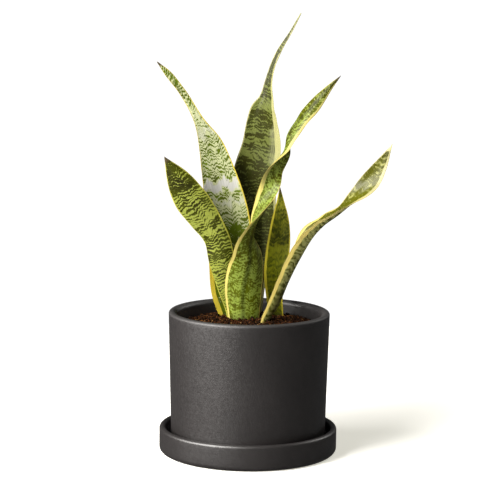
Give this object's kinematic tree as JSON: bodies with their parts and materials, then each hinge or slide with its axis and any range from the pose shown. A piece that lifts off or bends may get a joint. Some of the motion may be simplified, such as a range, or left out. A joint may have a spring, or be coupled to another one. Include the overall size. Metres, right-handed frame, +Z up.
{
  "type": "potted snake plant",
  "caption": "Young snake plant with upright, twisted, banded leaves in a plain round charcoal ceramic planter that stands on its own shallow saucer.",
  "frame": {"origin": "centre of the saucer's underside, on the surface that it stands on and on the planter's axis", "axes": "+Z up along the planter's axis; -Y towards the front of the plant; +X to the right as seen from the front"},
  "size_m": [0.1869, 0.144, 0.3532],
  "materials": {
    "charcoal_ceramic": "satin charcoal stoneware, fine grain, worn a little paler along the lips",
    "potting_mix": "matt reddish-brown coir and bark crumbs with a few pale specks",
    "rhizome": "matt, fleshy, pale yellow",
    "leaf_green": "waxy satin, dark green with wavy paler cross bands and a cream-yellow edge",
    "leaf_pale": "waxy satin, grey-cream with dark green zigzag cross bands and a thin yellow edge"
  },
  "bodies": {
    "root": {"saucer": "charcoal_ceramic", "pot": "charcoal_ceramic", "soil": "potting_mix", "rhizome": "rhizome", "leaf_front": "leaf_green", "leaf_left": "leaf_green", "leaf_tall_left": "leaf_pale", "leaf_tallest": "leaf_green", "leaf_back": "leaf_green", "leaf_right": "leaf_green"}
  },
  "joints": []
}
